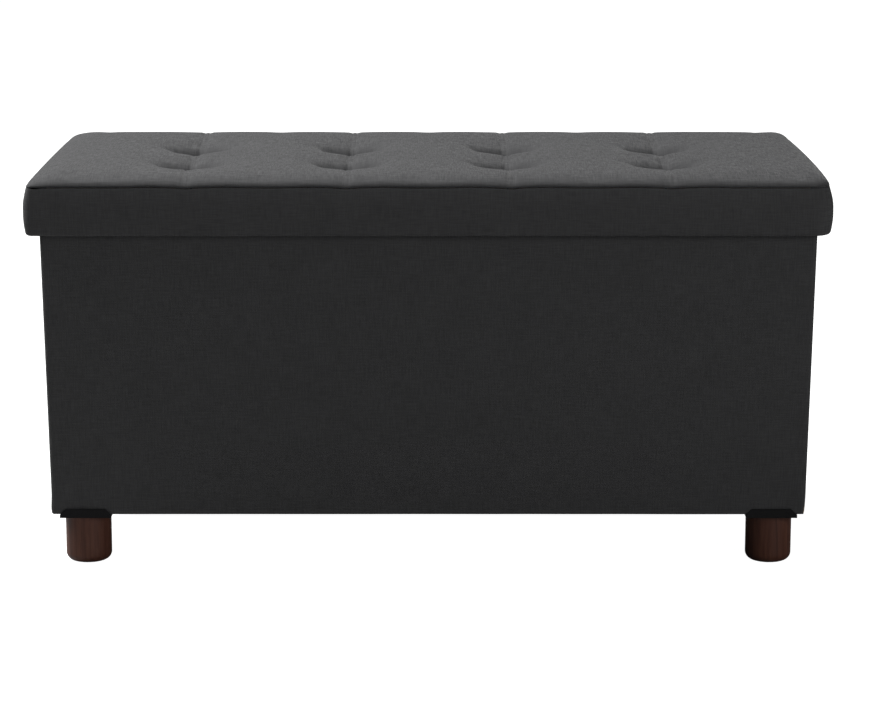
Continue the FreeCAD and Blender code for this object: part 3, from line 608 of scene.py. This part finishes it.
def make_pull_tab():
    """The ribbon tab at one end of the floor board: folded in two, with its ends sewn down."""
    half_width = (TAB_HIGH.y - TAB_LOW.y) / 2
    z_low, z_high = TAB_LOW.z, TAB_HIGH.z
    length = TAB_HIGH.x - TAB_LOW.x
    along = np.linspace(0, 1, 22)
    lift = 0.3 * (z_high - z_low - 2 * RIBBON)
    lower = np.column_stack([TAB_LOW.x + length * along, np.full(len(along), z_low + RIBBON / 2)])
    arch = z_low + 1.5 * RIBBON + lift * (1 - np.cos(2 * math.pi * np.minimum(along * 1.2, 1)))
    upper = np.column_stack([TAB_LOW.x + length * along, arch])[::-1]
    bends = np.array([0.8, 1.6, 2.4])
    fold_z = z_low + RIBBON - 0.5 * RIBBON * np.cos(bends)
    fold = np.column_stack([TAB_HIGH.x + 0.5 * RIBBON * np.sin(bends), fold_z])
    line = np.array([*lower, *fold, *upper])
    across = np.linspace(-half_width, half_width, 9)
    points = np.array([[[x, y, z] for y in across] for x, z in line])
    weave = np.array([[[s, y] for y in across] for s in length_along(line)])
    faces = grid_faces(len(line), len(across))
    tab = make_mesh("pull_tab", points.reshape(-1, 3), faces, weave.reshape(-1, 2))
    thick = tab.modifiers.new("thickness", "SOLIDIFY")
    thick.thickness, thick.offset = RIBBON, 0
    subdivided(tab)
    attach(tab, "floor_board_body")
    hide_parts("floor_board_tab")
    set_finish(tab, "black_ribbon")
    return tab


# ---------------------------------------------------------------- the box's cover and lining

BOX_COUNTS = (120, 60)
BOX_CORNER, LINING_CORNER = 4 * MM, 2 * MM
RIM_THICK, RIM_EDGE = 11.6 * MM, 2.4 * MM
HEM_Z = LINING_TOP + 0.2 * MM
FOLD_WIDTH, COVER_FOLD, LINING_FOLD = 3.5 * MM, 0.7 * MM, 0.5 * MM

# The cover stands out at the front left bottom corner, is drawn in at the right one, and its lower edge
# goes gently up and down.
LEFT_BULGE, LEFT_BULGE_PLACE, LEFT_BULGE_WIDTH = 1.1 * MM, 6 * MM, 5 * MM
RIGHT_PULL, RIGHT_PULL_LENGTH = 0.9 * MM, 60 * MM
EDGE_RIPPLE, EDGE_RIPPLE_SIZE = 0.3 * MM, 90 * MM
LOW_REACH = 16 * MM

# The lining puckers inwards.
PUCKER, PUCKER_SIZE = 0.35 * MM, 38 * MM
LINING_OUTER, LINING_INNER = 10.45 * MM, 11.2 * MM


def lean(z):
    """How far the walls stand out at a height, from their faces at the base."""
    return (RIM_X - BASE_X) * (z - BASE_Z) / (RIM_Z - BASE_Z)


def box_ring(inset, z, corner=BOX_CORNER):
    """An outline round the box at a height, inset from its outer face."""
    out = lean(z) - inset
    radii = [max(corner - inset, 0.6 * MM)] * 4
    outline = rounded_outline(BASE_X + out, BASE_Y + out, radii, BOX_COUNTS)
    return np.column_stack([outline, np.full(len(outline), z)])


def fold_crease(grid, depth):
    """Draws the cloth in a little where the two boards of each end wall meet."""
    at_end = np.abs(grid[..., 0]) > BASE_X - 20 * MM
    pull = depth * bell(grid[..., 1], FOLD_WIDTH) * at_end
    grid[..., 0] -= np.sign(grid[..., 0]) * pull
    return grid


def make_box_fabric():
    """The woven cover: down the outside of the walls, and over the rim to a hem inside."""
    section = [(TURNED_UNDER, BASE_Z + 0.9 * MM)]
    section += [(0.9 * MM, BASE_Z + 0.15 * MM), (0.35 * MM, BASE_Z + 0.3 * MM)]
    section += [(0.05 * MM, BASE_Z + 1.2 * MM), (0, BASE_Z + 3 * MM), (0, BASE_Z + 8 * MM)]
    section += [(0, z) for z in np.linspace(BASE_Z + 16 * MM, RIM_Z - 12 * MM, 26)]
    for centre, angles in ((RIM_EDGE, (10, 35, 60, 85)), (RIM_THICK - RIM_EDGE, (95, 120, 145, 170))):
        for angle in np.radians(angles):
            z = RIM_Z - RIM_EDGE + RIM_EDGE * math.sin(angle)
            section.append((centre - RIM_EDGE * math.cos(angle), z))
    inside = (RIM_Z - 7 * MM, RIM_Z - 14 * MM, RIM_Z - 22 * MM, HEM_Z + 0.6 * MM)
    section += [(RIM_THICK, z) for z in inside]
    section += [(RIM_THICK - 0.5 * FABRIC, HEM_Z), (RIM_THICK - FABRIC, HEM_Z + 0.6 * MM)]
    section += [(RIM_THICK - FABRIC, RIM_Z - 6 * MM), (RIM_THICK / 2, RIM_Z - FABRIC)]
    section += [(FABRIC, RIM_Z - 6 * MM)]
    section += [(FABRIC, z) for z in (RIM_Z / 2, BASE_Z + 10 * MM)]

    def shape(grid):
        x, y, z = grid[..., 0], grid[..., 1], grid[..., 2]
        fold_crease(grid, COVER_FOLD)
        at_left, at_right = x < -BASE_X + 6 * MM, x > BASE_X - 6 * MM
        low = bell(z - BASE_Z - LEFT_BULGE_PLACE, LEFT_BULGE_WIDTH)
        grid[..., 0] -= LEFT_BULGE * low * at_left * (y < -BASE_Y + 9 * MM)
        very_low = np.clip(1 - (z - BASE_Z) / LOW_REACH, 0, 1) ** 2
        grid[..., 0] -= RIGHT_PULL * very_low * at_right * bell(y + BASE_Y, RIGHT_PULL_LENGTH)
        outer = (np.abs(x) > BASE_X - 1 * MM) | (np.abs(y) > BASE_Y - 1 * MM)
        grid[..., 2] += EDGE_RIPPLE * ripple(grid, EDGE_RIPPLE_SIZE, 4) * very_low * outer
        return grid

    cover = swept_ring("box_fabric", [box_ring(inset, z) for inset, z in section], shape)
    subdivided(cover)
    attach(cover, "box")
    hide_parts("box_cover")
    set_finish(cover, "charcoal_fabric")
    return cover


def make_wall_lining():
    """The non-woven lining on the inside of the walls."""
    heights = np.linspace(LINING_BOTTOM, LINING_TOP, 24)
    section = [(LINING_OUTER, z) for z in heights] + [(LINING_INNER, z) for z in heights[::-1]]

    def shape(grid):
        puckers = PUCKER * (1 + ripple(grid * np.array([1, 1, 0.35]), PUCKER_SIZE, 6))
        long_wall = np.abs(grid[..., 1]) > np.abs(grid[..., 0]) - (BASE_X - BASE_Y)
        grid[..., 1] -= np.sign(grid[..., 1]) * puckers * long_wall
        grid[..., 0] -= np.sign(grid[..., 0]) * puckers * ~long_wall
        return fold_crease(grid, -LINING_FOLD)

    rings = [box_ring(inset, z, LINING_CORNER) for inset, z in section]
    lining = swept_ring("wall_lining", rings, shape)
    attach(lining, "box")
    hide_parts("box_lining")
    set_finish(lining, "black_nonwoven")
    return lining


# ---------------------------------------------------------------- stitches

UP = [0, 0, 1.0]
TAB_SEWN_AT = 10 * MM
BOARD_STITCH_INSET = 7 * MM
STITCH_RADIUS = 0.35 * MM
STITCH_SIDES = 6

# Pairs of place along a stitch, in lengths, and thickness there, in radii.
STITCH_PROFILE = [(-0.5, 0.25), (-0.42, 0.8), (-0.2, 1.0), (0.2, 1.0), (0.42, 0.8), (0.5, 0.25)]


def at_distance(values, away, distance):
    """The value at a distance along a line, from its values at the distances in away."""
    return np.array([np.interp(distance, away, values[:, k]) for k in range(3)])


def make_stitches(name, line, normal, pitch=5 * MM, length=3.6 * MM):
    """Short rounded stitches along a closed line. normal gives the way that each point's surface faces."""
    line, normal = np.asarray(line), np.asarray(normal)
    closed = np.vstack([line, line[:1]])
    away = length_along(closed)
    facing = np.vstack([normal, normal[:1]])
    count = int(away[-1] / pitch)
    angles = np.arange(STITCH_SIDES) * 2 * math.pi / STITCH_SIDES
    stitch_faces = grid_faces(len(STITCH_PROFILE), STITCH_SIDES, wrap_columns=True)
    stitch_faces.append(range(STITCH_SIDES))
    stitch_faces.append(range((len(STITCH_PROFILE) - 1) * STITCH_SIDES, len(STITCH_PROFILE) * STITCH_SIDES))
    points, faces = [], []
    for middle in (np.arange(count) + 0.5) * away[-1] / count:
        before, after = at_distance(closed, away, middle - 1 * MM), at_distance(closed, away, middle + 1 * MM)
        centre = (before + after) / 2
        forward = (after - before) / np.linalg.norm(after - before)
        up = at_distance(facing, away, middle)
        up = up - forward * (up @ forward)
        up = up / np.linalg.norm(up)
        side = np.cross(forward, up)
        faces += [tuple(len(points) + k for k in face) for face in stitch_faces]
        for at, wide in STITCH_PROFILE:
            dip = -0.5 * STITCH_RADIUS * (2 * at) ** 2
            for angle in angles:
                around = side * math.cos(angle) + up * (0.8 * math.sin(angle))
                points.append(centre + forward * at * length + up * dip + around * STITCH_RADIUS * wide)
    made = turned_outwards(make_mesh(name, points, faces))
    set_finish(made, "black_twine")
    return made


def inward_normals(outline):
    """Level directions that point from an outline of the box towards its middle."""
    following = np.roll(outline, -1, axis=0) - np.roll(outline, 1, axis=0)
    return np.column_stack([-following[:, 1], following[:, 0], np.zeros(len(outline))])


def make_hem_stitches():
    """Two rows of stitches round the inside of the rim: through the hem, and close under the rim's fold."""
    made = []
    for name, z in (("hem_stitches", HEM_Z + 5 * MM), ("rim_stitches", RIM_Z - 7 * MM)):
        ring = box_ring(RIM_THICK, z)
        row = make_stitches(name, ring, inward_normals(ring))
        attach(row, "box")
        made.append(row)
    return made


def make_board_stitches():
    """The stitches round the edge of the floor board's wrap, and the square that holds the pull tab."""
    half_x, half_y = WRAP_X - BOARD_STITCH_INSET, WRAP_Y - BOARD_STITCH_INSET
    outline = rounded_outline(half_x, half_y, (4 * MM,) * 4, (60, 30), 4)
    ring = np.column_stack([outline, np.full(len(outline), WRAP_TOP + 0.05 * MM)])
    edge = make_stitches("board_stitches", ring, np.tile(UP, (len(ring), 1)))
    outline = rounded_outline(7 * MM, 9 * MM, (0.5 * MM,) * 4, (8, 8), 1)
    outline = outline + np.array([TAB_LOW.x + TAB_SEWN_AT, 0])
    ring = np.column_stack([outline, np.full(len(outline), TAB_LOW.z + 2 * RIBBON + 0.05 * MM)])
    square = make_stitches("tab_stitches", ring, np.tile(UP, (len(ring), 1)), pitch=2.6 * MM, length=2 * MM)
    for row in (edge, square):
        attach(row, "floor_board_body")
    return [edge, square]


# ---------------------------------------------------------------- materials


class Shader:
    """A material's nodes: short names for making them and joining them up. In the names of inputs, _0 is the
    first input and an underscore further on stands for a space."""

    def __init__(self, name):
        self.material = bpy.data.materials.new(name)
        self.material.use_nodes = True
        self.tree = self.material.node_tree
        self.surface = self.tree.nodes["Principled BSDF"]

    def node(self, kind, settings=None, **inputs):
        made = self.tree.nodes.new("ShaderNode" + kind)
        for name, value in (settings or {}).items():
            setattr(made, name, value)
        for name, value in inputs.items():
            key = int(name[1:]) if name[0] == "_" else name.replace("_", " ")
            self.feed(made.inputs[key], value)
        return made

    def feed(self, socket, value):
        if isinstance(value, bpy.types.NodeSocket):
            self.tree.links.new(value, socket)
        else:
            socket.default_value = value

    def math(self, operation, first, second=0.0, third=0.0):
        made = self.node("Math", {"operation": operation}, _0=first, _1=second, _2=third)
        return made.outputs[0]

    def noise(self, vector, scale, detail=2.0, roughness=0.5):
        made = self.node("TexNoise", Vector=vector, Scale=scale, Detail=detail, Roughness=roughness)
        return made.outputs["Fac"]

    def stretched(self, vector, scale):
        return self.node("Mapping", Vector=vector, Scale=scale).outputs[0]

    def ramp(self, value, stops):
        made = self.node("ValToRGB", Fac=value)
        elements = made.color_ramp.elements
        while len(elements) < len(stops):
            elements.new(0.5)
        for element, (place, colour) in zip(elements, stops):
            element.position, element.color = place, (*colour, 1)
        return made.outputs["Color"]

    def woven(self):
        """Each point's place on the flat cloth: the weave attribute of its mesh."""
        return self.node("Attribute", {"attribute_name": "weave"}).outputs["Vector"]

    def bump(self, height, distance, strength):
        return self.node("Bump", Height=height, Distance=distance, Strength=strength).outputs["Normal"]

    def finish(self, **inputs):
        for name, value in inputs.items():
            self.feed(self.surface.inputs[name.replace("_", " ")], value)
        return self.material


def shaded(colour, factor):
    return tuple(channel * factor for channel in colour)


def linen_material():
    """Charcoal linen-look cloth: a plain weave of uneven threads, slightly heathered, with a soft sheen."""
    thread = 0.95 * MM
    colour = (0.0345, 0.0345, 0.0355)
    make = Shader("charcoal_linen")
    cloth = make.woven()
    wobble = make.noise(cloth, 160, 1)
    parts = make.node("SeparateXYZ", Vector=cloth)
    turns = 2 * math.pi / thread
    threads = []
    for part, sway in ((0, 5), (1, -5)):
        swayed = make.math("MULTIPLY", wobble, sway)
        threads.append(make.math("SINE", make.math("MULTIPLY_ADD", parts.outputs[part], turns, swayed)))
    over = make.math("MULTIPLY_ADD", make.math("MULTIPLY", *threads), 0.5, 0.5)
    slub_warp = make.noise(make.stretched(cloth, (0.8 / thread, 60, 1)), 1, 2)
    slub_weft = make.noise(make.stretched(cloth, (60, 0.8 / thread, 1)), 1, 2)
    slubs = make.math("ADD", slub_warp, slub_weft)
    patches = make.noise(cloth, 28, 3)
    flecks = make.noise(cloth, 190, 3)
    tone = make.math("MULTIPLY_ADD", over, 0.40, make.math("MULTIPLY", slubs, 0.55))
    tone = make.math("MULTIPLY_ADD", patches, 0.20, tone)
    tint = make.ramp(tone, [(0.42, shaded(colour, 0.66)), (0.85, colour), (1.0, shaded(colour, 1.22))])
    relief = make.math("MULTIPLY_ADD", over, 0.6, make.math("MULTIPLY", slubs, 0.5))
    normal = make.bump(relief, 0.18 * MM, 0.7)
    fuzz = make.math("MULTIPLY_ADD", slubs, 0.22, make.math("MULTIPLY_ADD", flecks, 0.22, -0.26))
    return make.finish(Base_Color=tint, Normal=normal, Roughness=0.92, Specular_IOR_Level=0.18,
                       Sheen_Weight=fuzz, Sheen_Roughness=0.42, Sheen_Tint=(0.95, 0.95, 0.95, 1))


def nonwoven_material():
    """Black spun cloth, pressed with a fine pattern of dots."""
    pitch = 1.6 * MM
    make = Shader("black_nonwoven")
    cloth = make.woven()
    parts = make.node("SeparateXYZ", Vector=cloth)
    turns = 2 * math.pi / pitch
    waves = []
    for slant in ("ADD", "SUBTRACT"):
        slanted = make.math(slant, parts.outputs[0], parts.outputs[1])
        waves.append(make.math("COSINE", make.math("MULTIPLY", slanted, turns)))
    dots = make.math("SMOOTH_MAX", make.math("MULTIPLY", *waves), 0.2, 0.3)
    fibres = make.noise(make.stretched(cloth, (900, 500, 1)), 1, 3, 0.7)
    tone = make.math("MULTIPLY_ADD", dots, -0.3, fibres)
    tint = make.ramp(tone, [(0.1, (0.010, 0.010, 0.011)), (0.8, (0.030, 0.030, 0.032))])
    normal = make.bump(tone, 0.12 * MM, 0.8)
    return make.finish(Base_Color=tint, Normal=normal, Roughness=0.95, Specular_IOR_Level=0.12,
                       Sheen_Weight=0.12, Sheen_Roughness=0.6)


def ribbon_material():
    """Black grosgrain ribbon, ribbed across its length."""
    make = Shader("black_ribbon")
    cloth = make.woven()
    parts = make.node("SeparateXYZ", Vector=cloth)
    ribs = make.math("SINE", make.math("MULTIPLY", parts.outputs[0], 2 * math.pi / (0.9 * MM)))
    fibres = make.noise(make.stretched(cloth, (300, 1500, 1)), 1, 2)
    tone = make.math("MULTIPLY_ADD", ribs, 0.2, fibres)
    tint = make.ramp(tone, [(0.2, (0.012, 0.012, 0.013)), (0.9, (0.034, 0.034, 0.036))])
    normal = make.bump(tone, 0.2 * MM, 0.8)
    return make.finish(Base_Color=tint, Normal=normal, Roughness=0.6, Sheen_Weight=0.15, Sheen_Roughness=0.4)


def twine_material():
    """Black waxed thread with its twist."""
    make = Shader("black_twine")
    place = make.node("TexCoord").outputs["Object"]
    wave = make.node("TexWave", {"bands_direction": "DIAGONAL"}, Vector=place, Scale=900.0, Distortion=1.0)
    twist = wave.outputs["Fac"]
    tint = make.ramp(twist, [(0.2, (0.010, 0.010, 0.011)), (0.9, (0.035, 0.035, 0.037))])
    return make.finish(Base_Color=tint, Normal=make.bump(twist, 0.1 * MM, 0.6), Roughness=0.55)


def walnut_material():
    """Dark stained walnut: long upright grain and fine pores under a satin finish."""
    make = Shader("dark_walnut")
    place = make.node("TexCoord").outputs["Object"]
    drift = make.noise(make.stretched(place, (30, 30, 5)), 1, 2)
    sideways = (0.012, 0.012, 0.0)
    bent = make.node("VectorMath", {"operation": "MULTIPLY_ADD"}, _0=drift, _1=sideways, _2=place)
    figure = make.noise(make.stretched(bent.outputs[0], (230, 230, 9)), 1, 4, 0.6)
    pores = make.noise(make.stretched(place, (1500, 1500, 60)), 1, 2)
    tone = make.math("MULTIPLY_ADD", pores, 0.25, make.math("MULTIPLY", figure, 0.8))
    stops = [(0.30, (0.030, 0.0100, 0.0062)), (0.52, (0.058, 0.0215, 0.0135)), (0.75, (0.088, 0.036, 0.022))]
    tint = make.ramp(tone, stops)
    normal = make.bump(tone, 0.12 * MM, 0.35)
    rough = make.math("MULTIPLY_ADD", pores, 0.18, 0.36)
    return make.finish(Base_Color=tint, Normal=normal, Roughness=rough, Specular_IOR_Level=0.2)


def speckled_material(name, dark, light, scale, roughness, metallic=0.0, specular=0.5):
    """A fine-grained material: powder coat, moulded plastic, plated steel, foam or raw board."""
    make = Shader(name)
    place = make.node("TexCoord").outputs["Object"]
    grain = make.noise(place, scale, 3, 0.6)
    tint = make.ramp(grain, [(0.3, dark), (0.7, light)])
    normal = make.bump(grain, 0.05 * MM, 0.5)
    rough = make.math("MULTIPLY_ADD", grain, 0.15, roughness - 0.075)
    return make.finish(Base_Color=tint, Normal=normal, Roughness=rough, Metallic=metallic,
                       Specular_IOR_Level=specular)


def make_materials():
    """One Blender material for each of the record's material slots."""
    return {
        "charcoal_fabric": linen_material(),
        "black_nonwoven": nonwoven_material(),
        "black_ribbon": ribbon_material(),
        "black_twine": twine_material(),
        "walnut": walnut_material(),
        "black_steel": speckled_material(
            "black_powder_coat", (0.004, 0.004, 0.0045), (0.009, 0.009, 0.0095), 900, 0.6, specular=0.1
        ),
        "zinc_steel": speckled_material(
            "zinc_plated_steel", (0.42, 0.42, 0.41), (0.62, 0.62, 0.61), 250, 0.35, metallic=1.0
        ),
        "black_plastic": speckled_material(
            "black_plastic", (0.012, 0.012, 0.012), (0.018, 0.018, 0.018), 700, 0.5
        ),
        "fibreboard": speckled_material("fibreboard", (0.30, 0.19, 0.10), (0.46, 0.32, 0.19), 350, 0.85),
        "foam": speckled_material("foam", (0.70, 0.66, 0.52), (0.84, 0.80, 0.68), 600, 0.95),
        "wadding": speckled_material("wadding", (0.72, 0.72, 0.70), (0.88, 0.88, 0.86), 120, 0.95),
    }


def dress(pieces):
    """Gives every piece and every CAD node the material of its slot in the record."""
    materials = make_materials()
    for piece in pieces:
        piece.data.materials.clear()
        piece.data.materials.append(materials[piece["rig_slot"]])
    for row in frame["record"]["subparts"]:
        node = frame["nodes"][row["node"]]
        for slot in node.material_slots:
            slot.material = materials[row["material_slot"]]


# ---------------------------------------------------------------- stage and light

SKY_STRENGTH = 1.9
SKY_TIGHTNESS = 5.0
SURROUND_STRENGTH = 0.6
KEY_PLACE, KEY_SIZE, KEY_POWER = (-2.2, 0.7, 3.0), 2.2, 362.0
FILL_PLACE, FILL_SIZE, FILL_POWER = (2.2, -2.65, 1.3), 1.6, 52.0
LAMPS_FACE = (0, 0, 0.25)


def make_floor():
    """A wide floor that the camera sees as white and that reflects like mid-grey paper."""
    half = 40.0
    corners = [(-half, -half, 0), (half, -half, 0), (half, half, 0), (-half, half, 0)]
    floor = make_mesh("floor", corners, [(0, 1, 2, 3)])
    make = Shader("pale_floor")
    seen = make.node("LightPath").outputs["Is Camera Ray"]
    pale = make.finish(Base_Color=(0.3, 0.3, 0.3, 1), Roughness=0.9, Specular_IOR_Level=0.1,
                       Emission_Color=(1, 1, 1, 1), Emission_Strength=seen)
    floor.data.materials.append(pale)


def make_sky():
    """Soft light that is strongest straight above. The camera sees it as plain white."""
    world = bpy.data.worlds.new("studio")
    bpy.context.scene.world = world
    world.use_nodes = True
    nodes, links = world.node_tree.nodes, world.node_tree.links

    def worked_out(operation, value, *constants):
        made = nodes.new("ShaderNodeMath")
        made.operation = operation
        links.new(value, made.inputs[0])
        for k, constant in enumerate(constants):
            made.inputs[k + 1].default_value = constant
        return made.outputs[0]

    place = nodes.new("ShaderNodeTexCoord")
    parts = nodes.new("ShaderNodeSeparateXYZ")
    links.new(place.outputs["Generated"], parts.inputs[0])
    upward = worked_out("MAXIMUM", parts.outputs["Z"], 0.0)
    tight = worked_out("POWER", upward, SKY_TIGHTNESS)
    overhead = SKY_STRENGTH * (SKY_TIGHTNESS + 2) / 2
    strength = worked_out("MULTIPLY_ADD", tight, overhead, SURROUND_STRENGTH)
    seen = nodes.new("ShaderNodeLightPath")
    surround = nodes.new("ShaderNodeMix")
    links.new(seen.outputs["Is Camera Ray"], surround.inputs[0])
    links.new(strength, surround.inputs[2])
    surround.inputs[3].default_value = 1.0
    links.new(surround.outputs[0], nodes["Background"].inputs["Strength"])


def make_soft_light(name, place, size, power):
    """A large square lamp that faces the middle of the object."""
    data = bpy.data.lights.new(name, "AREA")
    data.shape, data.size, data.energy = "SQUARE", size, power
    lamp = bpy.data.objects.new(name, data)
    lamp.location = place
    lamp.rotation_mode = "QUATERNION"
    lamp.rotation_quaternion = (Vector(LAMPS_FACE) - Vector(place)).to_track_quat("-Z", "Y")
    bpy.context.scene.collection.objects.link(lamp)


def make_stage():
    """The floor, the sky and two lamps: the key from the left and above, the fill from the front right."""
    make_floor()
    make_sky()
    make_soft_light("key", KEY_PLACE, KEY_SIZE, KEY_POWER)
    make_soft_light("fill", FILL_PLACE, FILL_SIZE, FILL_POWER)
    bpy.context.scene.view_settings.view_transform = "Standard"


# ---------------------------------------------------------------- everything together


make_camera()
made = [make_tufted_top(), make_side_band(), make_seam_ridge(), make_lid_lining()]
made += [make_box_fabric(), make_wall_lining(), make_underside_cloth(), *make_hem_stitches()]
made += [make_floor_board_wrap(), make_pull_tab(), *make_board_stitches()]
dress(made)
make_stage()
